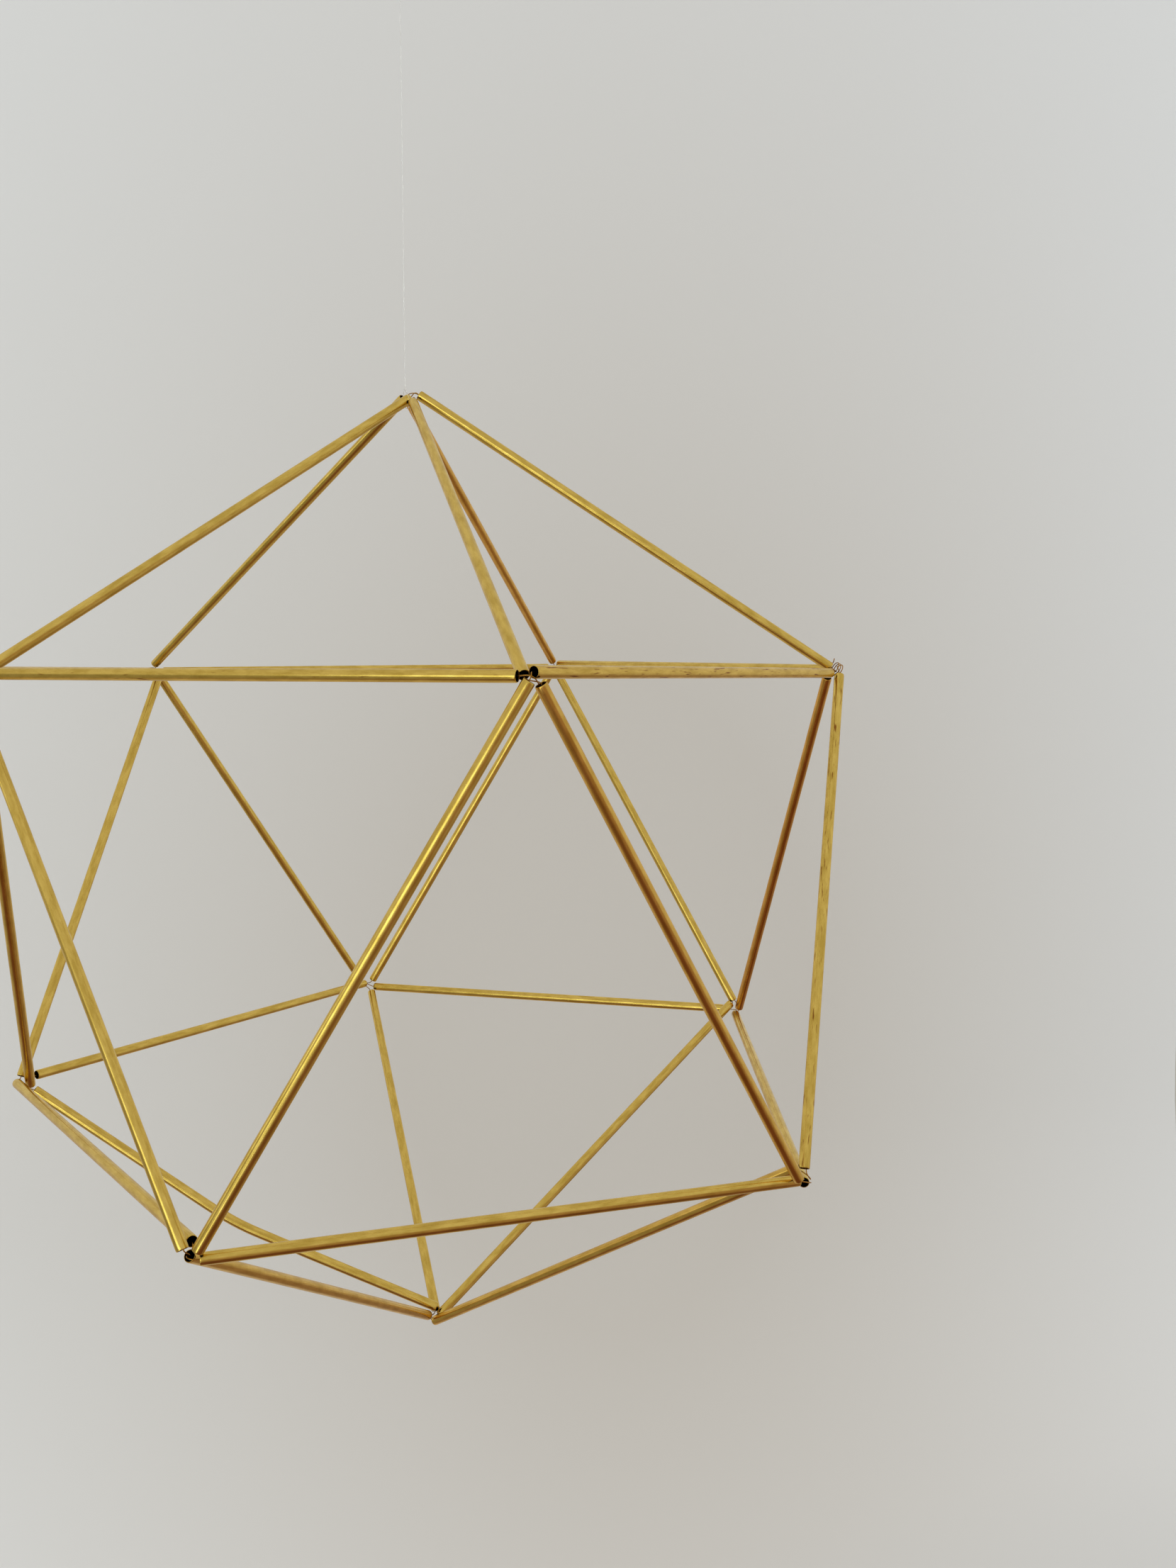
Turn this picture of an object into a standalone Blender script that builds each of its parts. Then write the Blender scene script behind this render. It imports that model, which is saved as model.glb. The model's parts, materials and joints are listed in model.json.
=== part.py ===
"""Himmeli ornament: thirty thin brass tubes strung on wire into an open frame with twenty triangular
sides, hung from its top corner by a clear thread that ends in a knotted loop.

Metres, +Z up. The origin is at the top of the hanging loop, and the frame's axis runs straight down
below it. Corner U1 of the upper ring faces -Y.
"""
import math

import bmesh
import bpy
from mathutils import Vector

# Tubes, cut by hand from thin-walled brass stock
TUBE_DIAMETER = 0.0031
TUBE_WALL = 0.00025
TUBE_BORE = TUBE_DIAMETER - 2 * TUBE_WALL
TUBE_LENGTH = 0.150
TUBE_SIDES = 16
END_GAP = 0.0003  # between neighbouring tube ends in a regular corner

# The one bent tube, from the bottom corner to L5
BEND_ANGLE = math.radians(11.6)
BEND_RADIUS = 0.070
BEND_PLACE = 0.48  # share of the tube's length, from the bottom corner
BEND_STEPS = 4

# Wire threaded through the tubes
WIRE_DIAMETER = 0.0003
WIRE_SIDE_SHARE = 0.18  # of the bore, from the tube's centre line, where two runs share a tube
WIRE_TURN_STEPS = 6  # straight pieces in each turn between two tubes
WIRE_TAIL_INSET = 0.004  # how far inside its last tube the wire ends

# Wound-off start of the wire at corner U2
COIL_PLACE = (0.15, 0.35, -0.5)  # its middle, from the corner, in tube radii
COIL_AXIS = (0.88, 0.05, -0.47)
COIL_EASE = 0.00055  # its turns' middle line, outside a tube's surface: it was wound round a tube
COIL_PITCH = 0.0008
COIL_TURNS = 3
COIL_TURN_STEPS = 12
COIL_START = math.radians(120)
COIL_TIP = 0.0012  # the cut tip that stands out from the first turn
COIL_LEAD = 0.0030  # how straight the wire runs on from the last turn

# Clear thread and its loop
THREAD_DIAMETER = 0.0003
THREAD_RISE = 0.1270  # from the top corner to the loop's knot
THREAD_STEPS = 4  # straight pieces between two of the route's points
LOOP_HEIGHT = 0.0090
LOOP_WIDTH = 0.0050
LOOP_STEPS = 20
LOOP_SIDES = 8
KNOT_DIAMETER = 0.0012
KNOT_SEGMENTS = 12
KNOT_RINGS = 8
KNOT_GAP = 0.0003  # between the thread's end and the loop's knot

# The regular frame that the ornament was made as: an icosahedron
END_STANDOFF = (TUBE_DIAMETER / 2 * math.cos(math.radians(30)) + END_GAP / 2) / math.sin(math.radians(30))
EDGE = TUBE_LENGTH + 2 * END_STANDOFF
RING_RADIUS = EDGE / (2 * math.sin(math.radians(36)))
RING_HEIGHT = RING_RADIUS / 2
CORNER_RADIUS = EDGE * math.sin(math.radians(72))
CENTRE = Vector((0, 0, -(LOOP_HEIGHT + KNOT_DIAMETER + THREAD_RISE + CORNER_RADIUS)))

# T is the top corner and B the bottom one. The rings' corners are numbered from the front to the right.
UPPER = ["U1", "U2", "U3", "U4", "U5"]
LOWER = ["L1", "L2", "L3", "L4", "L5"]

# How far each corner has settled away from its regular place
SETTLED = {
    "T": (-0.0005, 0.0005, 0.0015),
    "U1": (-0.0005, 0.0005, 0),
    "U2": (-0.0010, 0, -0.0010),
    "U3": (-0.0010, -0.0005, -0.0005),
    "U4": (-0.0010, 0.0010, 0.0010),
    "U5": (0.0010, 0, 0.0005),
    "L1": (0.0005, -0.0005, -0.0005),
    "L2": (0.0005, -0.0010, -0.0010),
    "L3": (0, 0, 0),
    "L4": (0, 0.0005, -0.0010),
    "L5": (0.0020, 0, 0.0015),
    "B": (0.0005, 0, 0.0005),
}

# How each tube end rests at its corner, in tube radii: drawn back along its own length, lifted outwards
# and shifted sideways. At T and B the tubes go round from U1 or L1. At the rings' corners they are the
# one to T or B, the next and the previous corner of the same ring, and the two of the other ring.
TUBE_RESTS = {
    "T": ((0.75, 0.25, -0.25), (-0.5, 1.5, 0.25), (-0.25, 0.5, -0.75), (-0.75, 0.75, -0.25), (-1.5, 0, -0.75)),
    "U1": ((0.25, -1.25, -0.25), (-1, 0.25, -0.5), (0, 0, 0), (-1.25, 0.5, -0.25), (0, 0.25, -0.75)),
    "U2": ((-1, -0.75, -0.25), (0, -0.25, 0.5), (0.5, -0.75, -1), (0, 0.75, 0), (1, -1, -0.5)),
    "U3": ((0, -0.25, 0), (0, -0.5, 0.75), (0, 0, 0), (0.5, 0, -0.5), (1, 0, 0.25)),
    "U4": ((-1, 0.25, 0.5), (0.25, -0.75, 0.75), (0, -0.75, -0.75), (0.5, 0.5, -0.25), (0.5, -1.25, 0.75)),
    "U5": ((0.25, -0.75, 0), (0, 0.5, -0.5), (0.25, 0.5, 0.75), (0, -1.5, 0), (0, 0, 0)),
    "L1": ((-0.75, -0.75, 1), (-0.5, -0.25, 0.25), (0.75, -2, 0.75), (0, 0.25, -0.25), (0, 0, 0.25)),
    "L2": ((-1, -0.75, -0.5), (-1.25, 1.75, 1.5), (-1.25, 1.25, -0.5), (-0.5, 2.25, -2.25), (-1.25, 0.5, 0.25)),
    "L3": ((-2, -1.5, 0.25), (0.25, 0, 0.25), (0, 1, -0.5), (-1, 1.25, -1), (-0.5, 0.5, -1)),
    "L4": ((1, 0.25, 0.75), (0, -1.25, 0), (0.25, 0.5, -0.5), (-0.25, 0, -0.75), (0.25, 0.25, 0.75)),
    "L5": ((0.5, 1.25, -0.5), (-0.5, 2.25, -1.25), (0, 0, 0.25), (-1.75, 1.25, 0.75), (-1.75, -0.5, 2)),
    "B": ((0.75, 0.25, -1), (-1.5, 0.5, -1.5), (-1.5, 0.25, 0), (0, 0.5, 0), (-0.75, -1.5, -0.25)),
}

TUBES = {
    "crown_tube_front": ("T", "U1"),
    "crown_tube_right": ("T", "U2"),
    "crown_tube_back_right": ("T", "U3"),
    "crown_tube_back_left": ("T", "U4"),
    "crown_tube_left": ("T", "U5"),
    "upper_ring_tube_front_right": ("U1", "U2"),
    "upper_ring_tube_right": ("U2", "U3"),
    "upper_ring_tube_back": ("U3", "U4"),
    "upper_ring_tube_back_left": ("U4", "U5"),
    "upper_ring_tube_front_left": ("U5", "U1"),
    "side_tube_1": ("L1", "U1"),
    "side_tube_2": ("U1", "L2"),
    "side_tube_3": ("L2", "U2"),
    "side_tube_4": ("U2", "L3"),
    "side_tube_5": ("L3", "U3"),
    "side_tube_6": ("U3", "L4"),
    "side_tube_7": ("L4", "U4"),
    "side_tube_8": ("U4", "L5"),
    "side_tube_9": ("L5", "U5"),
    "side_tube_10": ("U5", "L1"),
    "lower_ring_tube_front": ("L1", "L2"),
    "lower_ring_tube_right": ("L2", "L3"),
    "lower_ring_tube_back_right": ("L3", "L4"),
    "lower_ring_tube_back_left": ("L4", "L5"),
    "lower_ring_tube_left": ("L5", "L1"),
    "base_tube_front_left": ("B", "L1"),
    "base_tube_front_right": ("B", "L2"),
    "base_tube_right": ("B", "L3"),
    "base_tube_back": ("B", "L4"),
    "base_tube_left": ("B", "L5"),
}
BENT_TUBE = {"B", "L5"}

# The wire's way through the frame, corner by corner. It passes through six of the tubes twice.
WIRE_ROUTE = (
    "U2 L2 B L1 U5 L5 B L3 U3 U4 L4 B L1 L2 U1 T U3 L3 L2 U1 U5 T U2 U3 L4 L5 U5 U4 L4 L3 U2 U1 L1 L5 U4 T U2"
).split()

# How far the wire reaches out of a tube's mouth before it turns, and how far it bulges away from the
# frame's centre and sideways, in tube radii. The turns that differ are named by corner, tube in and tube out.
WIRE_TURN = (1.1, 0.3, 0)
WIRE_OTHER_TURNS = {
    ("T", "U1", "U3"): (1.4, 0.6, -1.2),
    ("U1", "L2", "T"): (1.1, -0.4, 0.4),
    ("U1", "L2", "U5"): (1.6, 0.6, 0),
    ("U2", "T", "U3"): (2, 0, -0.4),
    ("U2", "L3", "U1"): (0.6, -1.2, 0),
    ("U3", "L3", "U4"): (1.1, 0, 0),
    ("U3", "U2", "L4"): (1.1, 0.9, 0),
    ("U3", "T", "L3"): (1.1, -0.4, 0),
    ("U4", "U3", "L4"): (1.1, -0.4, 0),
    ("U4", "U5", "L4"): (1.1, 0.9, 0),
    ("U4", "L5", "T"): (1.1, -0.4, 0),
    ("L1", "B", "U5"): (1.1, -0.4, 0),
    ("L2", "U2", "B"): (1.8, 2.6, -0.8),
    ("L2", "L3", "U1"): (1.4, 1.2, -1.6),
    ("L2", "L1", "U1"): (1.1, 0, -0.4),
    ("L3", "B", "U3"): (0.6, 0.6, -0.8),
    ("L3", "U3", "L2"): (1.1, 1.6, 0),
    ("B", "L2", "L1"): (1.1, 0.3, 0.4),
    ("B", "L5", "L3"): (1.8, -1.2, 0.8),
}

# The thread's way from its tied end round the left and back left crown tubes and up again, from the corner
THREAD_ROUTE = [
    (-0.0011, 0.0000, 0.0029),
    (-0.0014, -0.0014, 0.0025),
    (-0.0016, -0.0029, 0.0014),
    (-0.0011, -0.0037, 0.0002),
    (-0.0006, -0.0036, -0.0009),
    (-0.0001, -0.0028, -0.0023),
    (-0.0006, -0.0009, -0.0032),
    (-0.0011, 0.0009, -0.0030),
    (-0.0001, 0.0025, -0.0010),
    (-0.0006, 0.0039, 0.0010),
    (-0.0013, 0.0032, 0.0018),
    (-0.0013, 0.0016, 0.0025),
    (-0.0011, 0.0008, 0.0032),
    (-0.0011, 0.0006, 0.0045),
]
THREAD_RISE_POINTS = 6  # more of the route's points on the way up


def regular_corner(name):
    """A corner's place in the regular frame, from its centre."""
    if name == "T":
        return Vector((0, 0, CORNER_RADIUS))
    if name == "B":
        return Vector((0, 0, -CORNER_RADIUS))
    lower = name in LOWER
    turn = math.radians(72 * (int(name[1]) - 1) - 90 - (36 if lower else 0))
    height = -RING_HEIGHT if lower else RING_HEIGHT
    return Vector((RING_RADIUS * math.cos(turn), RING_RADIUS * math.sin(turn), height))


def corner(name):
    return CENTRE + regular_corner(name) + Vector(SETTLED[name])


def neighbours(name):
    """The corners that this one is joined to, in the order of TUBE_RESTS."""
    if name == "T":
        return UPPER
    if name == "B":
        return LOWER
    place = int(name[1]) - 1
    if name in UPPER:
        return ["T", UPPER[(place + 1) % 5], UPPER[place - 1], LOWER[place], LOWER[(place + 1) % 5]]
    return ["B", LOWER[(place + 1) % 5], LOWER[place - 1], UPPER[place - 1], UPPER[place]]


def tube_directions(at, to):
    """Along the tube from one corner to another, outwards from the frame's centre, and sideways."""
    along = (corner(to) - corner(at)).normalized()
    outwards = regular_corner(at)
    outwards = (outwards - outwards.dot(along) * along).normalized()
    return along, outwards, along.cross(outwards)


def tube_end(at, to):
    along, outwards, sideways = tube_directions(at, to)
    draw, lift, shift = TUBE_RESTS[at][neighbours(at).index(to)]
    rest = draw * along + lift * outwards + shift * sideways
    return corner(at) + END_STANDOFF * along + TUBE_DIAMETER / 2 * rest


def across(vector, along):
    """The unit vector across a direction that is nearest to the one given."""
    return (vector - vector.dot(along) * along).normalized()


def bent_line(start, end, outwards):
    """A line with one bend: two straight legs and the arc between them."""
    chord = end - start
    height = chord.length * BEND_PLACE * math.tan(BEND_ANGLE * (1 - BEND_PLACE))
    elbow = start + BEND_PLACE * chord + height * across(outwards, chord.normalized())
    first = (elbow - start).normalized()
    second = (end - elbow).normalized()
    inwards = across(second, first)
    turn = first.angle(second)
    arc_start = elbow - BEND_RADIUS * math.tan(turn / 2) * first
    points = [start]
    for step in range(BEND_STEPS + 1):
        angle = turn * step / BEND_STEPS
        points.append(arc_start + BEND_RADIUS * (math.sin(angle) * first + (1 - math.cos(angle)) * inwards))
    return points + [end]


def tube_line(at, to):
    """The tube's centre line, from one corner's end to the other's."""
    start = tube_end(at, to)
    end = tube_end(to, at)
    if {at, to} != BENT_TUBE:
        return [start, end]
    outwards = regular_corner(at) + regular_corner(to)
    if at == "B":
        return bent_line(start, end, outwards)
    return bent_line(end, start, outwards)[::-1]


def line_directions(line):
    """The direction of travel at each point of a line."""
    steps = [(after - before).normalized() for before, after in zip(line, line[1:])]
    middles = [(before + after).normalized() for before, after in zip(steps, steps[1:])]
    return [steps[0]] + middles + [steps[-1]]


def material(name, colour, metallic, roughness, alpha=1):
    made = bpy.data.materials.new(name)
    made.use_nodes = True
    shader = made.node_tree.nodes["Principled BSDF"]
    shader.inputs["Base Color"].default_value = (*colour, 1)
    shader.inputs["Metallic"].default_value = metallic
    shader.inputs["Roughness"].default_value = roughness
    shader.inputs["Alpha"].default_value = alpha
    return made


def add_object(name, data, finish):
    data.materials.append(finish)
    made = bpy.data.objects.new(name, data)
    bpy.context.collection.objects.link(made)
    return made


def tube_mesh(name, line, outwards):
    """A thin-walled tube along a line, open at both ends."""
    shape = bmesh.new()
    walls = []
    for radius in (TUBE_DIAMETER / 2, TUBE_BORE / 2):
        rings = []
        for point, along in zip(line, line_directions(line)):
            up = across(outwards, along)
            side = along.cross(up)
            ring = []
            for number in range(TUBE_SIDES):
                angle = 2 * math.pi * number / TUBE_SIDES
                ring.append(shape.verts.new(point + radius * (math.cos(angle) * up + math.sin(angle) * side)))
            rings.append(ring)
        walls.append(rings)
    outer, inner = walls
    bands = list(zip(outer, outer[1:])) + list(zip(inner[1:], inner))
    bands += [(inner[0], outer[0]), (outer[-1], inner[-1])]
    for first, second in bands:
        for number in range(TUBE_SIDES):
            after = (number + 1) % TUBE_SIDES
            shape.faces.new((first[number], first[after], second[after], second[number]))
    bmesh.ops.recalc_face_normals(shape, faces=shape.faces)
    mesh = bpy.data.meshes.new(name)
    shape.to_mesh(mesh)
    shape.free()
    mesh.shade_smooth()
    mesh.set_sharp_from_angle(angle=math.radians(40))
    return mesh


def rod_curve(name, points, diameter, sides_step):
    """A solid round rod along the points."""
    curve = bpy.data.curves.new(name, "CURVE")
    curve.dimensions = "3D"
    curve.bevel_depth = diameter / 2
    curve.bevel_resolution = sides_step
    curve.render_resolution_u = 0
    curve.use_fill_caps = True
    spline = curve.splines.new("POLY")
    spline.points.add(len(points) - 1)
    for spot, point in zip(spline.points, points):
        spot.co = (*point, 1)
    return curve


def bezier(first, second, third, fourth, steps):
    """Points along a curve between two ends, with its two handles in the middle."""
    points = []
    for step in range(steps + 1):
        share = step / steps
        rest = 1 - share
        points.append(
            rest**3 * first + 3 * rest**2 * share * second + 3 * rest * share**2 * third + share**3 * fourth
        )
    return points


def wire_runs():
    """The wire's straight runs, one for each tube that it passes: two beside each other in a shared tube."""
    steps = list(zip(WIRE_ROUTE, WIRE_ROUTE[1:]))
    tubes = [frozenset(step) for step in steps]
    runs = []
    for number, (at, to) in enumerate(steps):
        shift = 0
        if tubes.count(tubes[number]) > 1:
            shift = WIRE_SIDE_SHARE * TUBE_BORE * (-1 if tubes[number] in tubes[:number] else 1)
        sideways = tube_directions(*sorted(steps[number]))[2]
        runs.append([point + shift * sideways for point in tube_line(at, to)])
    return runs


def wire_turn(at, arriving, leaving):
    """The wire's turn at a corner, from the end of one run to the start of the next."""
    key = (at, arriving[0], leaving[0])
    reach, bulge, aside = [TUBE_DIAMETER / 2 * share for share in WIRE_OTHER_TURNS.get(key, WIRE_TURN)]
    first, fourth = arriving[1], leaving[1]
    outwards = regular_corner(at).normalized()
    sideways = outwards.cross(fourth - first).normalized()
    shift = bulge * outwards + aside * sideways
    second = first + reach * arriving[2] + shift
    third = fourth - reach * leaving[2] + shift
    return bezier(first, second, third, fourth, WIRE_TURN_STEPS)[1:-1]


def wire_start(first_run):
    """The wire's cut tip, its wound turns and the way from them to the first tube."""
    middle = corner("U2") + TUBE_DIAMETER / 2 * Vector(COIL_PLACE)
    radius = TUBE_DIAMETER / 2 + COIL_EASE
    axis = Vector(COIL_AXIS).normalized()
    up = across(Vector((0, 0, 1)), axis)
    side = axis.cross(up)
    points = []
    for step in range(COIL_TURNS * COIL_TURN_STEPS + 1):
        angle = COIL_START + 2 * math.pi * step / COIL_TURN_STEPS
        height = COIL_PITCH * (step / COIL_TURN_STEPS - COIL_TURNS / 2)
        points.append(middle + height * axis + radius * (math.cos(angle) * side + math.sin(angle) * up))
    outwards = (points[0] - middle).normalized()
    tip = points[0] + COIL_TIP * ((points[0] - points[1]).normalized() + outwards).normalized()
    into = (first_run[1] - first_run[0]).normalized()
    leaving = (points[-1] - points[-2]).normalized()
    way = bezier(
        points[-1], points[-1] + COIL_LEAD * leaving, first_run[0] - COIL_LEAD * into, first_run[0], WIRE_TURN_STEPS
    )
    return [tip] + points + way[1:-1]


def wire_line():
    runs = wire_runs()
    points = wire_start(runs[0])
    for number, run in enumerate(runs):
        points += run
        if number + 1 < len(runs):
            before, at, after = WIRE_ROUTE[number : number + 3]
            following = runs[number + 1]
            arriving = (before, run[-1], (run[-1] - run[-2]).normalized())
            leaving = (after, following[0], (following[1] - following[0]).normalized())
            points += wire_turn(at, arriving, leaving)
    tail = (points[-2] - points[-1]).normalized()
    points[-1] = points[-1] + WIRE_TAIL_INSET * tail
    return points


def smooth(points, steps):
    """Points along a smooth curve through those given."""
    ends = [2 * points[0] - points[1], *points, 2 * points[-1] - points[-2]]
    line = []
    for before, first, second, after in zip(ends, ends[1:], ends[2:], ends[3:]):
        reach = (second - first).length / 3
        leaving = reach * (second - before).normalized()
        arriving = reach * (after - first).normalized()
        line += bezier(first, first + leaving, second - arriving, second, steps)[:-1]
    return line + [points[-1]]


def thread_line():
    route = [corner("T") + Vector(point) for point in THREAD_ROUTE]
    top = Vector((0, 0, -(LOOP_HEIGHT + KNOT_DIAMETER + KNOT_GAP)))
    rise = top - route[-1]
    route += [route[-1] + rise * step / THREAD_RISE_POINTS for step in range(1, THREAD_RISE_POINTS + 1)]
    return smooth(route, THREAD_STEPS)


def loop_mesh(name):
    """A drop-shaped loop of the thread, closed on itself inside its knot."""
    shape = bmesh.new()
    rings = []
    for step in range(LOOP_STEPS):
        turn = 2 * math.pi * step / LOOP_STEPS
        middle = drop_point(turn)
        along = (drop_point(turn + 0.01) - drop_point(turn - 0.01)).normalized()
        across_plane = Vector((0, 1, 0))
        up = along.cross(across_plane)
        ring = []
        for side in range(LOOP_SIDES):
            angle = 2 * math.pi * side / LOOP_SIDES
            offset = math.cos(angle) * up + math.sin(angle) * across_plane
            ring.append(shape.verts.new(middle + THREAD_DIAMETER / 2 * offset))
        rings.append(ring)
    for first, second in zip(rings, rings[1:] + rings[:1]):
        for side in range(LOOP_SIDES):
            after = (side + 1) % LOOP_SIDES
            shape.faces.new((first[side], first[after], second[after], second[side]))
    bmesh.ops.recalc_face_normals(shape, faces=shape.faces)
    mesh = bpy.data.meshes.new(name)
    shape.to_mesh(mesh)
    shape.free()
    mesh.shade_smooth()
    return mesh


def drop_point(turn):
    """A point of the loop's middle line: at the knot where turn is 0, and at the top half a turn on."""
    height = -(LOOP_HEIGHT + KNOT_DIAMETER / 2) * (1 + math.cos(turn)) / 2
    width = LOOP_WIDTH / 2 * math.sin(turn) * abs(math.sin(turn / 2))
    return Vector((width, 0, height + THREAD_DIAMETER / 2))


def knotted_loop(name, finish):
    """The loop and its knot, as one piece."""
    ring = add_object(name + "_ring", loop_mesh(name + "_ring"), finish)
    ring.hide_render = True
    ring.display_type = "WIRE"
    shape = bmesh.new()
    bmesh.ops.create_uvsphere(
        shape, u_segments=KNOT_SEGMENTS, v_segments=KNOT_RINGS, radius=KNOT_DIAMETER / 2
    )
    mesh = bpy.data.meshes.new(name)
    shape.to_mesh(mesh)
    shape.free()
    mesh.shade_smooth()
    knot = add_object(name, mesh, finish)
    knot.location = (0, 0, -(LOOP_HEIGHT + KNOT_DIAMETER / 2))
    union = knot.modifiers.new("loop", "BOOLEAN")
    union.operation = "UNION"
    union.object = ring
    return knot


def main():
    for old in list(bpy.data.objects):
        bpy.data.objects.remove(old, do_unlink=True)
    brass = material("drawn_brass_tube", (0.56, 0.40, 0.11), 1, 0.3)
    wire_brass = material("brass_wire", (0.60, 0.42, 0.16), 1, 0.35)
    for name, (at, to) in TUBES.items():
        outwards = regular_corner(at) + regular_corner(to)
        add_object(name, tube_mesh(name, tube_line(at, to), outwards), brass)
    add_object("threading_wire", rod_curve("threading_wire", wire_line(), WIRE_DIAMETER, 1), wire_brass)
    nylon = material("clear_nylon", (0.85, 0.85, 0.82), 0, 0.2, 0.4)
    add_object("hanging_thread", rod_curve("hanging_thread", thread_line(), THREAD_DIAMETER, 2), nylon)
    knotted_loop("hanging_loop", nylon)


main()
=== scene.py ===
import json
import math

import bpy
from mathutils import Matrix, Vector


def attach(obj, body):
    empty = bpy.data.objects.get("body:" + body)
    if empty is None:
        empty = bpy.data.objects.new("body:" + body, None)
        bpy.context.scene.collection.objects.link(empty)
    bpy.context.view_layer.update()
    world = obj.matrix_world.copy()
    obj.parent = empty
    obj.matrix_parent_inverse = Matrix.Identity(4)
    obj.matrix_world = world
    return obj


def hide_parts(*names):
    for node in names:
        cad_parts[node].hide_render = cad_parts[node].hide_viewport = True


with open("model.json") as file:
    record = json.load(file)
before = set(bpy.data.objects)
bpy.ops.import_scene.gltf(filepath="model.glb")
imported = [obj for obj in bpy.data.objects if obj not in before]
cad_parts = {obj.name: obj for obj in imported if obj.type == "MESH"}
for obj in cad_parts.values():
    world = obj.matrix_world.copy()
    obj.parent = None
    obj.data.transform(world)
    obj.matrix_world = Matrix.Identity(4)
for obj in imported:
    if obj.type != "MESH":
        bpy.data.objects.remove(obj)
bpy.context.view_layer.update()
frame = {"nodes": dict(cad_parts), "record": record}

# Camera
# It stands a little above the ornament's middle and to its left, and looks to the right and slightly
# down.
camera = bpy.data.objects.new("camera", bpy.data.cameras.new("camera"))
camera.data.lens = 30.19
camera.data.sensor_width = 36
camera.data.clip_start = 0.01
camera.location = (-0.0788, -0.4123, -0.2131)
camera.rotation_euler = [math.radians(turn) for turn in (84.07, 0.78, -18.15)]
bpy.context.scene.collection.objects.link(camera)
bpy.context.scene.camera = camera

# Brass tubes
# Thirty lengths of thin-walled brass tube, drawn through a die and cut by hand with a small tube
# cutter. Its wheel presses each end in a little and leaves the edge rounded. Wire holds them.
TUBE_DIAMETER = 0.0031
TUBE_WALL = 0.00025
TUBE_SIDES = 48
PRESSED_IN = 0.00006  # how far the cutter's wheel pressed the end inwards
PRESSED_LENGTH = 0.0007  # how much of the end it pressed
RING_DISTANCES = (0, 0.00001, 0.00003, 0.00006, 0.000125, 0.0003, 0.0007, 0.002)  # from each end
RING_SPACING = 0.0025  # further in
SMOOTHINGS = 4
WELD_DISTANCE = 0.000002
END_RING_WIDTH = 1.1  # in diameters: corners of a CAD node this near its tip are its end ring
FRAME_MIDDLE = Vector((0, 0, -0.2855))

BRASS_DULL = "CEAE51"
BRASS_GOLD = "E9CA6B"
REFLECTED_BROWN_TINT = "F9CBC3"  # painted reflection: multiplies the others on tubes that would mirror the brown room
SPECK_BROWN = "945F24"
BORE_BROWN = "6B4A20"
DULL_ROUGHNESS = 0.25
GOLD_ROUGHNESS = 0.18
PATCH_SCALE = (170, 650, 650)  # per metre along and across: patches 6 mm long and 1.5 mm wide
SPECK_SCALE = (200, 1400, 1400)  # specks 5 mm long and 0.7 mm wide
SPECK_EDGE = 9  # how sharply a speck sets in
CLEAN_LIMIT = 0.9  # the grain above which a clean tube is dark
SPECKED_LIMIT = 0.6  # and a specked one
DRAW_LINE_SCALE = (60, 5000, 5000)
DRAW_LINE_DEPTH = 0.00001
PATTERN_STEP = 0.37  # metres of pattern between one tube's start and the next one's
SPECKS_AND_REFLECTED_BROWN = {  # how much the real tube is specked, and how much painted reflection of the brown room reddens it
    "upper_ring_tube_front_right": (1.0, 0.1),
    "side_tube_3": (1.0, 0.0),
    "upper_ring_tube_front_left": (0.8, 0.0),
    "crown_tube_left": (0.5, 0.0),
    "base_tube_back": (0.5, 0.0),
    "side_tube_10": (0.5, 0.0),
    "side_tube_4": (0.25, 0.6),
    "crown_tube_back_right": (0.25, 0.5),
    "side_tube_2": (0.4, 0.3),
    "base_tube_front_right": (0.25, 0.25),
    "base_tube_front_left": (0.25, 0.2),
}
FEW_SPECKS_NO_REFLECTED_BROWN = (0.25, 0.0)  # any other tube


def linear(colour):
    """An sRGB hex colour as linear red, green, blue and alpha."""
    channels = [int(colour[place : place + 2], 16) / 255 for place in (0, 2, 4)]
    return [
        value / 12.92 if value <= 0.04045 else ((value + 0.055) / 1.055) ** 2.4 for value in channels
    ] + [1]


def add_node(tree, kind, inputs=None, **settings):
    """A node with its settings and inputs: each a value, a socket, or a node for its first output."""
    node = tree.nodes.new(kind)
    for name, value in settings.items():
        setattr(node, name, value)
    for place, value in (inputs or {}).items():
        if isinstance(value, bpy.types.Node):
            value = value.outputs[0]
        if isinstance(value, bpy.types.NodeSocket):
            tree.links.new(value, node.inputs[place])
        else:
            node.inputs[place].default_value = value
    return node


def new_tree(name, inputs):
    """A Geometry Nodes tree that takes a line and these inputs, and the sockets that give them."""
    tree = bpy.data.node_groups.new(name, "GeometryNodeTree")
    tree.interface.new_socket("Line", in_out="INPUT", socket_type="NodeSocketGeometry")
    for title, kind in inputs.items():
        tree.interface.new_socket(title, in_out="INPUT", socket_type="NodeSocket" + kind)
    tree.interface.new_socket("Piece", in_out="OUTPUT", socket_type="NodeSocketGeometry")
    return tree, tree.nodes.new("NodeGroupInput").outputs


def end_tree(tree, geometry, material):
    """Realizes the tree's result and gives it its material."""
    realized = add_node(tree, "GeometryNodeRealizeInstances", {0: geometry})
    finished = add_node(tree, "GeometryNodeSetMaterial", {"Geometry": realized, "Material": material})
    add_node(tree, "NodeGroupOutput", {0: finished})


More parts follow.
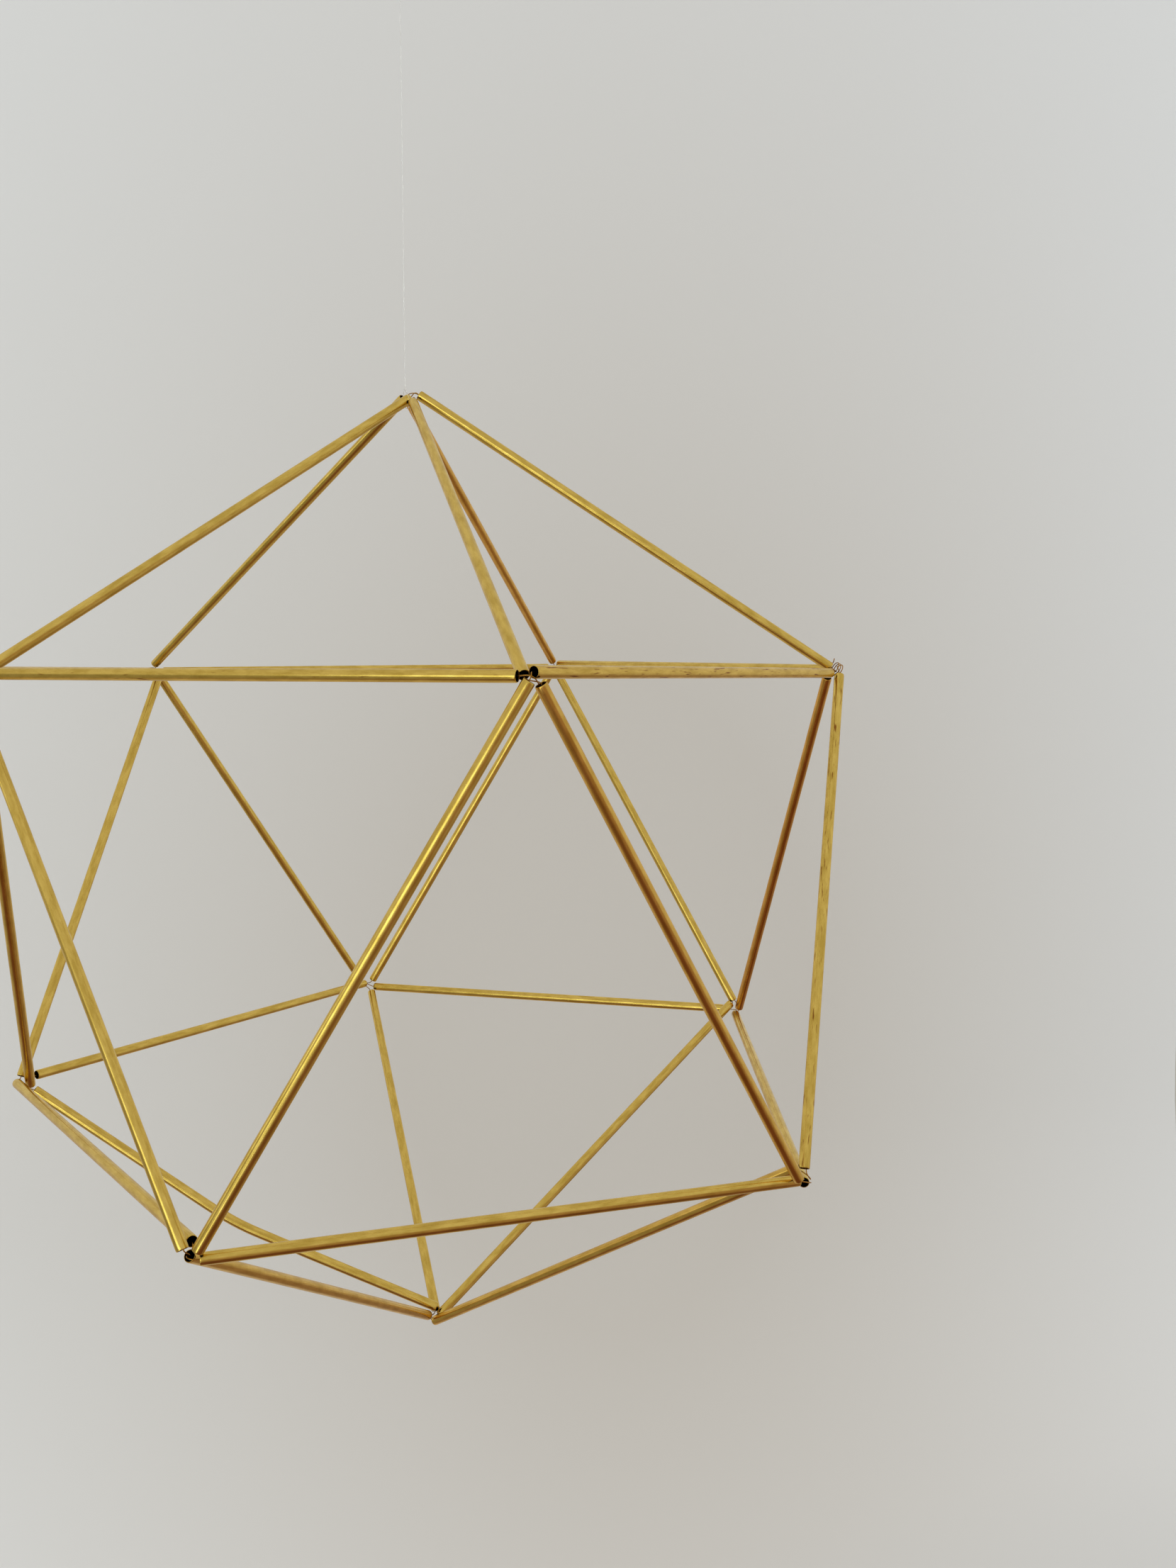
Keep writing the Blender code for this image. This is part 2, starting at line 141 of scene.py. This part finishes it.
def grow_piece(name, line, tree, values):
    """The plain mesh that the tree makes along a curve, as an object of its own."""
    carrier = bpy.data.objects.new(name + "_line", line)
    bpy.context.scene.collection.objects.link(carrier)
    modifier = carrier.modifiers.new(tree.name, "NODES")
    modifier.node_group = tree
    for item in tree.interface.items_tree:
        if item.in_out == "INPUT" and item.name in values:
            modifier[item.identifier] = values[item.name]
    evaluated = carrier.evaluated_get(bpy.context.evaluated_depsgraph_get())
    mesh = bpy.data.meshes.new_from_object(evaluated)
    mesh.name = name
    bpy.data.objects.remove(carrier)
    piece = bpy.data.objects.new(name, mesh)
    bpy.context.scene.collection.objects.link(piece)
    return piece


def drawn_line(points, kind="POLY"):
    """A curve through the points, or near them for a NURBS."""
    curve = bpy.data.curves.new("line", "CURVE")
    curve.dimensions = "3D"
    spline = curve.splines.new(kind)
    spline.points.add(len(points) - 1)
    for spot, point in zip(spline.points, points):
        spot.co = (*point, 1)
    if kind == "NURBS":
        spline.order_u = 3
        spline.resolution_u = 4
        spline.use_endpoint_u = True
    return curve


def joined_spots(node_name):
    """The places of a CAD node's corners, each with the places that its edges lead to."""
    mesh = frame["nodes"][node_name].data
    spots = [tuple(round(value, 6) for value in vertex.co) for vertex in mesh.vertices]
    joined = {}
    for edge in mesh.edges:
        first, second = (spots[end] for end in edge.vertices)
        joined.setdefault(first, set()).add(second)
        joined.setdefault(second, set()).add(first)
    return joined


def rings_from(ring, joined):
    """This ring of places on a tube or wire and all the rings that follow it."""
    rings = []
    passed = set()
    while ring:
        rings.append(ring)
        passed |= ring
        ring = {other for spot in ring for other in joined[spot]} - passed
    return rings


def centre_line(joined, tip, diameter):
    """The middles of the rings of a CAD tube or wire, from the end where the tip is."""
    end_ring = {spot for spot in joined if math.dist(spot, tip) < END_RING_WIDTH * diameter}
    rings = rings_from(end_ring, joined)
    return [sum((Vector(spot) for spot in ring), Vector()) / len(ring) for ring in rings]


def ringed_line(line):
    """Where on a line a tube's rings are: close together near its ends, and smooth where it bends."""
    reach = [0]
    for before, after in zip(line, line[1:]):
        reach.append(reach[-1] + (after - before).length)
    length = reach[-1]
    steps = int((length - 2 * RING_DISTANCES[-1]) / RING_SPACING)
    spread = (length - 2 * RING_DISTANCES[-1]) / steps
    middle = [RING_DISTANCES[-1] + spread * step for step in range(1, steps)]
    far_end = [length - distance for distance in reversed(RING_DISTANCES)]
    points = []
    for distance in [*RING_DISTANCES, *middle, *far_end]:
        leg = max(number for number in range(len(line) - 1) if reach[number] <= distance)
        share = (distance - reach[leg]) / (reach[leg + 1] - reach[leg])
        points.append(line[leg].lerp(line[leg + 1], share))
    first, last = len(RING_DISTANCES), len(points) - len(RING_DISTANCES)
    for _ in range(SMOOTHINGS):
        points[first:last] = [
            (before + 2 * point + after) / 4
            for before, point, after in zip(points[first - 1 :], points[first:last], points[first + 1 :])
        ]
    return points


def drawn_brass():
    """Drawn cartridge brass, aged indoors: satin gold, a little mottled, with draw lines and specks, and on
    some tubes a red tint that is painted reflection of the brown room.
    """
    finish = bpy.data.materials.new("drawn_brass_aged_with_painted_reflection")
    finish.use_nodes = True
    tree = finish.node_tree
    shader = tree.nodes["Principled BSDF"]
    place = add_node(tree, "ShaderNodeAttribute", attribute_name="along_and_round").outputs["Vector"]
    specks = add_node(tree, "ShaderNodeAttribute", attribute_name="specks").outputs["Fac"]
    painted_brown_reflection = add_node(tree, "ShaderNodeAttribute", attribute_name="painted_brown_reflection").outputs["Fac"]
    bore = add_node(tree, "ShaderNodeAttribute", attribute_name="bore").outputs["Fac"]

    # Cloudy gold and dull patches
    patches = add_node(tree, "ShaderNodeMapping", {"Vector": place, "Scale": PATCH_SCALE})
    cloud = add_node(
        tree, "ShaderNodeTexNoise", {"Vector": patches, "Scale": 1, "Detail": 4, "Roughness": 0.6}
    )
    gold = add_node(tree, "ShaderNodeMapRange", {"Value": cloud, "From Min": 0.35, "From Max": 0.65})
    colour = add_node(
        tree,
        "ShaderNodeMix",
        {"Factor": gold, "A": linear(BRASS_DULL), "B": linear(BRASS_GOLD)},
        data_type="RGBA",
    )
    # Painted reflection: a red tint, as strong as each tube's share, stands in for the brown room mirrored
    # in the brass
    with_painted_reflection = add_node(
        tree,
        "ShaderNodeMix",
        {"Factor": painted_brown_reflection, "A": colour.outputs["Result"], "B": linear(REFLECTED_BROWN_TINT)},
        data_type="RGBA",
        blend_type="MULTIPLY",
    )

    # Tarnish specks
    stretched = add_node(tree, "ShaderNodeMapping", {"Vector": place, "Scale": SPECK_SCALE})
    grain = add_node(tree, "ShaderNodeTexNoise", {"Vector": stretched, "Scale": 1, "Detail": 2})
    limit = add_node(
        tree, "ShaderNodeMapRange", {"Value": specks, "To Min": CLEAN_LIMIT, "To Max": SPECKED_LIMIT}
    )
    over = add_node(tree, "ShaderNodeMath", {0: grain, 1: limit}, operation="SUBTRACT")
    speck = add_node(
        tree, "ShaderNodeMath", {0: over, 1: SPECK_EDGE}, operation="MULTIPLY", use_clamp=True
    )
    dark = add_node(
        tree,
        "ShaderNodeMix",
        {"Factor": speck, "A": with_painted_reflection.outputs["Result"], "B": linear(SPECK_BROWN)},
        data_type="RGBA",
    )
    inside = add_node(
        tree,
        "ShaderNodeMix",
        {"Factor": bore, "A": dark.outputs["Result"], "B": linear(BORE_BROWN)},
        data_type="RGBA",
    )
    tree.links.new(inside.outputs["Result"], shader.inputs["Base Color"])

    # Draw lines: real ones are a few hundredths of a millimetre wide, and here they are a tenth
    lines = add_node(tree, "ShaderNodeMapping", {"Vector": place, "Scale": DRAW_LINE_SCALE})
    scratch = add_node(tree, "ShaderNodeTexNoise", {"Vector": lines, "Scale": 1, "Detail": 3})
    relief = add_node(
        tree, "ShaderNodeBump", {"Height": scratch, "Distance": DRAW_LINE_DEPTH, "Strength": 0.2}
    )
    tree.links.new(relief.outputs[0], shader.inputs["Normal"])
    rough = add_node(
        tree,
        "ShaderNodeMapRange",
        {
            "Value": cloud,
            "From Min": 0.3,
            "From Max": 0.7,
            "To Min": DULL_ROUGHNESS,
            "To Max": GOLD_ROUGHNESS,
        },
    )
    tree.links.new(rough.outputs[0], shader.inputs["Roughness"])
    shader.inputs["Metallic"].default_value = 1
    return finish


def tube_tree(finish):
    """Two walls along the line, which meet in a rounded edge at each end."""
    tree, given = new_tree(
        "brass_tube",
        {
            "Diameter": "Float",
            "Wall": "Float",
            "Pressed In": "Float",
            "Pressed Length": "Float",
            "Sides": "Int",
            "Specks": "Float",
            "Reflected Brown": "Float",
            "Pattern Start": "Float",
        },
    )

    # How far each place on the line is from the nearer end
    along = add_node(tree, "GeometryNodeSplineParameter").outputs["Length"]
    whole = add_node(tree, "GeometryNodeSplineLength").outputs["Length"]
    other_way = add_node(tree, "ShaderNodeMath", {0: whole, 1: along}, operation="SUBTRACT")
    from_end = add_node(tree, "ShaderNodeMath", {0: along, 1: other_way}, operation="MINIMUM")

    # Half of what is left of the wall's thickness there, where its edge rounds off
    half_wall = add_node(tree, "ShaderNodeMath", {0: given["Wall"], 1: 0.5}, operation="MULTIPLY")
    into_edge = add_node(
        tree, "ShaderNodeMath", {0: from_end, 1: half_wall}, operation="DIVIDE", use_clamp=True
    )
    rounded = add_node(tree, "ShaderNodeMath", {0: into_edge, 1: 0.5}, operation="POWER")
    half_left = add_node(tree, "ShaderNodeMath", {0: half_wall, 1: rounded}, operation="MULTIPLY")

    # How far the middle of the wall is from the line, less where the end is pressed in
    pressed = add_node(
        tree,
        "ShaderNodeMapRange",
        {"Value": from_end, "From Max": given["Pressed Length"], "To Min": given["Pressed In"], "To Max": 0},
        interpolation_type="SMOOTHSTEP",
    )
    half_width = add_node(tree, "ShaderNodeMath", {0: given["Diameter"], 1: 0.5}, operation="MULTIPLY")
    wall_middle = add_node(tree, "ShaderNodeMath", {0: half_width, 1: half_wall}, operation="SUBTRACT")
    middle = add_node(tree, "ShaderNodeMath", {0: wall_middle, 1: pressed}, operation="SUBTRACT")

    circle = add_node(tree, "GeometryNodeCurvePrimitiveCircle", {"Resolution": given["Sides"], "Radius": 1})
    position = add_node(tree, "GeometryNodeInputPosition").outputs[0]
    round_place = add_node(tree, "GeometryNodeCaptureAttribute", {"Geometry": circle})
    round_place.capture_items.new("VECTOR", "round")
    tree.links.new(position, round_place.inputs[1])
    walls = []
    for bore, operation in enumerate(("ADD", "SUBTRACT")):
        radius = add_node(tree, "ShaderNodeMath", {0: middle, 1: half_left}, operation=operation)
        line = add_node(tree, "GeometryNodeSetCurveRadius", {"Curve": given["Line"], "Radius": radius})
        caught = add_node(tree, "GeometryNodeCaptureAttribute", {"Geometry": line})
        caught.capture_items.new("FLOAT", "along")
        tree.links.new(along, caught.inputs[1])
        caught.capture_items.new("FLOAT", "radius")
        tree.links.new(radius.outputs[0], caught.inputs[2])
        caught_along, caught_radius = caught.outputs[1], caught.outputs[2]
        wall = add_node(
            tree,
            "GeometryNodeCurveToMesh",
            {"Curve": caught, "Profile Curve": round_place, "Scale": caught_radius},
        )
        across = add_node(
            tree,
            "ShaderNodeVectorMath",
            {0: round_place.outputs[1], "Scale": caught_radius},
            operation="SCALE",
        )
        parts = add_node(tree, "ShaderNodeSeparateXYZ", {0: across}).outputs
        start = add_node(
            tree, "ShaderNodeMath", {0: caught_along, 1: given["Pattern Start"]}, operation="ADD"
        )
        place = add_node(tree, "ShaderNodeCombineXYZ", {"X": start, "Y": parts[0], "Z": parts[1]})
        shell = wall.outputs[0]
        # The red tint's share stored here is painted reflection of the brown room
        stored = {
            "along_and_round": ("FLOAT_VECTOR", place),
            "bore": ("FLOAT", float(bore)),
            "specks": ("FLOAT", given["Specks"]),
            "painted_brown_reflection": ("FLOAT", given["Reflected Brown"]),
        }
        for title, (kind, value) in stored.items():
            shell = add_node(
                tree,
                "GeometryNodeStoreNamedAttribute",
                {"Geometry": shell, "Name": title, "Value": value},
                data_type=kind,
                domain="POINT",
            ).outputs[0]
        if bore:
            shell = add_node(tree, "GeometryNodeFlipFaces", {"Mesh": shell}).outputs[0]
        walls.append(shell)
    both = add_node(tree, "GeometryNodeJoinGeometry")
    for shell in walls:
        tree.links.new(shell, both.inputs[0])
    welded = add_node(tree, "GeometryNodeMergeByDistance", {"Geometry": both, "Distance": WELD_DISTANCE})
    smooth = add_node(tree, "GeometryNodeSetShadeSmooth", {"Geometry": welded})
    end_tree(tree, smooth, finish)
    return tree


brass_tube = tube_tree(drawn_brass())
tube_names = [
    part["node"] for part in frame["record"]["subparts"] if part["material_slot"] == "drawn_brass_tube"
]
for number, node_name in enumerate(tube_names):
    joined = joined_spots(node_name)
    tip = max(joined, key=lambda spot: math.dist(spot, FRAME_MIDDLE))
    # Each tube's specks, and its share of painted reflection of the brown room
    specks, reflected_brown_share = SPECKS_AND_REFLECTED_BROWN.get(node_name, FEW_SPECKS_NO_REFLECTED_BROWN)
    tube = grow_piece(
        "brass_" + node_name,
        drawn_line(ringed_line(centre_line(joined, tip, TUBE_DIAMETER))),
        brass_tube,
        {
            "Diameter": TUBE_DIAMETER,
            "Wall": TUBE_WALL,
            "Pressed In": PRESSED_IN,
            "Pressed Length": PRESSED_LENGTH,
            "Sides": TUBE_SIDES,
            "Specks": specks,
            "Reflected Brown": reflected_brown_share,
            "Pattern Start": PATTERN_STEP * number,
        },
    )
    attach(tube, "root")
    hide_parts(node_name)

# Threading wire
# One length of soft brass wire goes through all the tubes and is drawn tight. Its start is wound
# off round a tube end at the right-hand corner of the upper ring.
WIRE_DIAMETER = 0.0003
WIRE_SIDES = 10
WIRE_BROWNED = "8F6226"
WIRE_BRIGHT = "C8922E"
WIRE_CLOUD_SCALE = 400  # per metre: browned for 2 or 3 mm at a time


def drawn_wire():
    """Bright drawn brass wire, browned here and there: fine, smooth and glossy."""
    finish = bpy.data.materials.new("drawn_brass_wire")
    finish.use_nodes = True
    tree = finish.node_tree
    shader = tree.nodes["Principled BSDF"]
    place = add_node(tree, "ShaderNodeTexCoord").outputs["Object"]
    cloud = add_node(
        tree, "ShaderNodeTexNoise", {"Vector": place, "Scale": WIRE_CLOUD_SCALE, "Detail": 3}
    )
    colour = add_node(
        tree,
        "ShaderNodeMix",
        {"Factor": cloud, "A": linear(WIRE_BROWNED), "B": linear(WIRE_BRIGHT)},
        data_type="RGBA",
    )
    tree.links.new(colour.outputs["Result"], shader.inputs["Base Color"])
    shader.inputs["Metallic"].default_value = 1
    shader.inputs["Roughness"].default_value = 0.25
    return finish


def rod_tree(name, finish):
    """A solid round rod along the line."""
    tree, given = new_tree(name, {"Diameter": "Float", "Sides": "Int"})
    radius = add_node(tree, "ShaderNodeMath", {0: given["Diameter"], 1: 0.5}, operation="MULTIPLY")
    line = add_node(tree, "GeometryNodeSetCurveRadius", {"Curve": given["Line"], "Radius": 1.0})
    circle = add_node(
        tree, "GeometryNodeCurvePrimitiveCircle", {"Resolution": given["Sides"], "Radius": radius}
    )
    rod = add_node(
        tree, "GeometryNodeCurveToMesh", {"Curve": line, "Profile Curve": circle, "Fill Caps": True}
    )
    smooth = add_node(tree, "GeometryNodeSetShadeSmooth", {"Geometry": rod})
    end_tree(tree, smooth, finish)
    return tree


joined = joined_spots("threading_wire")
tip = min(rings_from({next(iter(joined))}, joined)[-1])
wire = grow_piece(
    "threaded_brass_wire",
    drawn_line(centre_line(joined, tip, WIRE_DIAMETER), "NURBS"),
    rod_tree("brass_wire", drawn_wire()),
    {"Diameter": WIRE_DIAMETER, "Sides": WIRE_SIDES},
)
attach(wire, "root")
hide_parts("threading_wire")

# Knotted loop
# The upper end of the clear nylon thread, doubled into a drop-shaped loop for a hook. The end is wound
# twice round the standing line and drawn tight in a small knot, and a short tail is left.
THREAD_DIAMETER = 0.0003
THREAD_TOP = Vector((0, 0, -0.0105))
LOOP_HEIGHT = 0.0090
LOOP_WIDTH = 0.0050
LOOP_POINTS = 24
KNOT_HEIGHT = 0.0012
KNOT_RADIUS = 0.00042
KNOT_TURNS = 2
KNOT_TURN_POINTS = 8
TURNS_TOP = 0.2  # where the knot's turns begin, as a share of its height
TURNS_BOTTOM = 0.7  # and where they end
KNOT_TAIL = (0.0008, -0.0007, -0.0106)  # its cut end
NYLON_WHITE = "F4F3EE"


def clear_nylon():
    """Clear nylon line: glassy, and faintly milky."""
    finish = bpy.data.materials.new("clear_nylon_line")
    finish.use_nodes = True
    shader = finish.node_tree.nodes["Principled BSDF"]
    shader.inputs["Base Color"].default_value = linear(NYLON_WHITE)
    shader.inputs["Roughness"].default_value = 0.12
    shader.inputs["IOR"].default_value = 1.53
    shader.inputs["Transmission Weight"].default_value = 0.85
    shader.inputs["Alpha"].default_value = 0.4
    return finish


def nylon_line(name, points, diameter, finish):
    """A length of the line along the points."""
    line = drawn_line(points, "NURBS")
    line.bevel_depth = diameter / 2
    line.bevel_resolution = 3
    line.use_fill_caps = True
    line.materials.append(finish)
    piece = bpy.data.objects.new(name, line)
    bpy.context.scene.collection.objects.link(piece)
    return piece


nylon = clear_nylon()
loop_route = [THREAD_TOP, Vector((0, 0, -(LOOP_HEIGHT + TURNS_BOTTOM * KNOT_HEIGHT)))]
for step in range(1, LOOP_POINTS):
    turn = 2 * math.pi * step / LOOP_POINTS
    aside = -LOOP_WIDTH / 2 * math.sin(turn) * abs(math.sin(turn / 2))
    fall = (LOOP_HEIGHT + KNOT_HEIGHT / 2) * (1 + math.cos(turn)) / 2 - THREAD_DIAMETER / 2
    loop_route.append(Vector((aside, 0, -fall)))
for step in range(KNOT_TURNS * KNOT_TURN_POINTS + 1):
    turn = 2 * math.pi * step / KNOT_TURN_POINTS
    share = TURNS_TOP + (TURNS_BOTTOM - TURNS_TOP) * step / (KNOT_TURNS * KNOT_TURN_POINTS)
    fall = LOOP_HEIGHT + KNOT_HEIGHT * share
    loop_route.append(Vector((KNOT_RADIUS * math.cos(turn), KNOT_RADIUS * math.sin(turn), -fall)))
loop_route.append(Vector(KNOT_TAIL))
loop = nylon_line("nylon_knotted_loop", loop_route, THREAD_DIAMETER, nylon)
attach(loop, "root")
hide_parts("hanging_loop")

# Hanging thread
# The same nylon line, tied round two tubes at the top corner. It carries the whole ornament, so it
# hangs taut and plumb from the knot.
THREAD_ROUTE = [  # from the top corner
    (-0.0011, 0.0000, 0.0029),
    (-0.0014, -0.0014, 0.0025),
    (-0.0016, -0.0029, 0.0014),
    (-0.0011, -0.0037, 0.0002),
    (-0.0006, -0.0036, -0.0009),
    (-0.0001, -0.0028, -0.0023),
    (-0.0006, -0.0009, -0.0032),
    (-0.0011, 0.0009, -0.0030),
    (-0.0001, 0.0025, -0.0010),
    (-0.0006, 0.0039, 0.0010),
    (-0.0013, 0.0032, 0.0018),
    (-0.0013, 0.0016, 0.0025),
    (-0.0011, 0.0008, 0.0032),
    (-0.0011, 0.0006, 0.0045),
]
TOP_CORNER = Vector((-0.0005, 0.0005, -0.1357))
THREAD_RISE_POINTS = 6

route = [TOP_CORNER + Vector(point) for point in THREAD_ROUTE]
rise = THREAD_TOP - route[-1]
route += [route[-1] + rise * step / THREAD_RISE_POINTS for step in range(1, THREAD_RISE_POINTS + 1)]
thread = nylon_line("nylon_hanging_thread", route, THREAD_DIAMETER, nylon)
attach(thread, "root")
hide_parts("hanging_thread")

# Backdrop
# A plain pale wall that runs into the floor in one wide curve. The floor goes on as far as can be
# seen. The brass mirrors neither of them, only the room.
FLOOR_HEIGHT = -1.7
FLOOR_FRONT = -0.5  # where the curved sheet ends and the wide floor is bare
FLOOR_REACH = 40.0
FLOOR_STEP = 0.001  # how far the wide floor is below the sheet
WALL_DISTANCE = 1.25
WALL_TOP = 2.2
SWEEP_RADIUS = 0.8
SWEEP_WIDTH = 2.9
SWEEP_STEPS = 24
# Painted light and shade: the wall is painted greyer at its middle and paler away from it, in place of light
# falling unevenly across it
WALL_SHADED_GREY = "CBC3BB"
WALL_LIT_PALE = "EDECEC"
FLOOR_GREY = "CECCC9"
WALL_STRETCH = (0.68, 0, 0.45)  # how much a distance across, back and up counts towards paler
WALL_MIDDLE = (0.34, 0, -0.315)  # the greyest place, in those distances
GREY_REACH = 0.2
PALE_REACH = 0.9
FLOOR_BLEND = 0.3  # how far above the floor its colour begins


def wall_with_painted_light():
    """Matt wall paint, warm grey, with painted shade greyer at its middle and painted light paler away from
    it; the floor is a plainer grey.
    """
    finish = bpy.data.materials.new("matt_wall_with_painted_light")
    finish.use_nodes = True
    tree = finish.node_tree
    shader = tree.nodes["Principled BSDF"]
    place = add_node(tree, "ShaderNodeTexCoord").outputs["Object"]
    flattened = add_node(tree, "ShaderNodeVectorMath", {0: place, 1: WALL_STRETCH}, operation="MULTIPLY")
    spread = add_node(tree, "ShaderNodeVectorMath", {0: flattened, 1: WALL_MIDDLE}, operation="DISTANCE")
    away = add_node(
        tree,
        "ShaderNodeMapRange",
        {"Value": spread.outputs["Value"], "From Min": GREY_REACH, "From Max": PALE_REACH},
    )
    # Painted shade at the middle of the wall, painted light away from it
    wall = add_node(
        tree,
        "ShaderNodeMix",
        {"Factor": away, "A": linear(WALL_SHADED_GREY), "B": linear(WALL_LIT_PALE)},
        data_type="RGBA",
    )
    height = add_node(tree, "ShaderNodeSeparateXYZ", {0: place}).outputs["Z"]
    low = add_node(
        tree,
        "ShaderNodeMapRange",
        {"Value": height, "From Min": FLOOR_HEIGHT + FLOOR_BLEND, "From Max": FLOOR_HEIGHT},
    )
    colour = add_node(
        tree,
        "ShaderNodeMix",
        {"Factor": low, "A": wall.outputs["Result"], "B": linear(FLOOR_GREY)},
        data_type="RGBA",
    )
    tree.links.new(colour.outputs["Result"], shader.inputs["Base Color"])
    shader.inputs["Roughness"].default_value = 0.9
    shader.inputs["Specular IOR Level"].default_value = 0.1
    return finish


profile = [(FLOOR_FRONT, FLOOR_HEIGHT)]
for step in range(SWEEP_STEPS + 1):
    turn = math.radians(90 * step / SWEEP_STEPS)
    back = WALL_DISTANCE - SWEEP_RADIUS + SWEEP_RADIUS * math.sin(turn)
    profile.append((back, FLOOR_HEIGHT + SWEEP_RADIUS - SWEEP_RADIUS * math.cos(turn)))
profile.append((WALL_DISTANCE, WALL_TOP))
corners = [(side * SWEEP_WIDTH / 2, *spot) for spot in profile for side in (-1, 1)]
faces = [(2 * row, 2 * row + 1, 2 * row + 3, 2 * row + 2) for row in range(len(profile) - 1)]
floor_start = len(corners)
corners += [
    (side * FLOOR_REACH, end * FLOOR_REACH, FLOOR_HEIGHT - FLOOR_STEP)
    for side, end in ((-1, -1), (1, -1), (1, 1), (-1, 1))
]
faces.append(tuple(range(floor_start, floor_start + 4)))
sweep_mesh = bpy.data.meshes.new("backdrop")
sweep_mesh.from_pydata(corners, [], faces)
sweep_mesh.shade_smooth()
sweep_mesh.materials.append(wall_with_painted_light())
backdrop = bpy.data.objects.new("backdrop", sweep_mesh)
bpy.context.scene.collection.objects.link(backdrop)
backdrop.visible_glossy = False

# Light
# A window on greenery stands behind the camera on the left, a smaller one farther left, and a soft
# lamp fills the wall. Below the ornament the room that the brass mirrors is brown, with darker
# furniture here and there.
ROOM_PALE = "E4E0D8"
ROOM_BROWN = "8E6C5E"
BROWN_FROM = -0.12  # how far down a direction points where the brown begins
BROWN_FULL = -0.9  # and where it is full
ROOM_THINGS = (  # azimuth, elevation and reach in degrees, and colour
    (0, -45, 40, "D2C7BB"),
    (-94, -22, 24, "A39D8F"),
    (160, -18, 25, "B39684"),
    (66, -50, 20, "A38A7A"),
    (-172, -64, 30, "7A4F42"),
)
SEEN_LOW = "B9B4AA"  # what the camera sees past the floor: the tone of the far floor
SEEN_HIGH = "E6E5E2"
SEEN_BLEND = 0.35  # how far up a direction points where the high tone is full
ROOM_STRENGTH = 0.83


def towards(azimuth, elevation):
    """The direction at an azimuth, in degrees clockwise from straight behind the ornament, and a height."""
    around, up = math.radians(azimuth), math.radians(elevation)
    return Vector((math.sin(around) * math.cos(up), math.cos(around) * math.cos(up), math.sin(up)))


def soft_light(name, azimuth, elevation, distance, width, height, power, colour):
    """A soft light that faces the ornament's middle."""
    light = bpy.data.lights.new(name, "AREA")
    light.shape = "RECTANGLE"
    light.size = width
    light.size_y = height
    light.energy = power
    light.color = linear(colour)[:3]
    lamp = bpy.data.objects.new(name, light)
    lamp.location = FRAME_MIDDLE + distance * towards(azimuth, elevation)
    lamp.rotation_euler = towards(azimuth, elevation).to_track_quat("Z", "Y").to_euler()
    lamp.visible_camera = False
    bpy.context.scene.collection.objects.link(lamp)
    return lamp


soft_light(
    "window_light",
    azimuth=-138,
    elevation=1,
    distance=1.5,
    width=1.0,
    height=0.45,
    power=2.0,
    colour="F0FFEC",
)
soft_light(
    "window_sill_light",
    azimuth=-137,
    elevation=-24,
    distance=1.5,
    width=0.35,
    height=0.4,
    power=0.7,
    colour="F0FFEC",
)
soft_light(
    "second_window_light",
    azimuth=-85,
    elevation=7,
    distance=1.7,
    width=0.3,
    height=0.35,
    power=0.36,
    colour="F6FFF0",
)
fill = soft_light(
    "wall_lamp",
    azimuth=165,
    elevation=12,
    distance=2.4,
    width=1.6,
    height=1.2,
    power=49,
    colour="E0F2FF",
)
fill.visible_glossy = False


def room_thing(tree, direction, room, azimuth, elevation, reach, colour):
    """The room with one soft-edged thing in it, about twice reach degrees across."""
    nearness = add_node(
        tree,
        "ShaderNodeVectorMath",
        {0: direction, 1: towards(azimuth, elevation)},
        operation="DOT_PRODUCT",
    )
    share = add_node(
        tree,
        "ShaderNodeMapRange",
        {
            "Value": nearness.outputs["Value"],
            "From Min": math.cos(math.radians(1.5 * reach)),
            "From Max": math.cos(math.radians(0.5 * reach)),
        },
        interpolation_type="SMOOTHSTEP",
    )
    mixed = add_node(
        tree, "ShaderNodeMix", {"Factor": share, "A": room, "B": linear(colour)}, data_type="RGBA"
    )
    return mixed.outputs["Result"]


world = bpy.data.worlds.new("pale_room")
world.use_nodes = True
bpy.context.scene.world = world
tree = world.node_tree
direction = add_node(tree, "ShaderNodeTexCoord").outputs["Generated"]
height = add_node(tree, "ShaderNodeSeparateXYZ", {0: direction}).outputs["Z"]
falling = add_node(
    tree, "ShaderNodeMapRange", {"Value": height, "From Min": BROWN_FROM, "From Max": BROWN_FULL}
)
lower = add_node(
    tree,
    "ShaderNodeMix",
    {"Factor": falling, "A": linear(ROOM_PALE), "B": linear(ROOM_BROWN)},
    data_type="RGBA",
)
room = lower.outputs["Result"]
for azimuth, elevation, reach, colour in ROOM_THINGS:
    room = room_thing(tree, direction, room, azimuth, elevation, reach, colour)
rising = add_node(tree, "ShaderNodeMapRange", {"Value": height, "From Min": 0.0, "From Max": SEEN_BLEND})
backing = add_node(
    tree,
    "ShaderNodeMix",
    {"Factor": rising, "A": linear(SEEN_LOW), "B": linear(SEEN_HIGH)},
    data_type="RGBA",
)
seen = add_node(tree, "ShaderNodeLightPath").outputs["Is Camera Ray"]
shade = add_node(
    tree, "ShaderNodeMix", {"Factor": seen, "A": room, "B": backing.outputs["Result"]}, data_type="RGBA"
)
tree.links.new(shade.outputs["Result"], tree.nodes["Background"].inputs["Color"])
tree.nodes["Background"].inputs["Strength"].default_value = ROOM_STRENGTH
bpy.context.scene.view_settings.view_transform = "Standard"
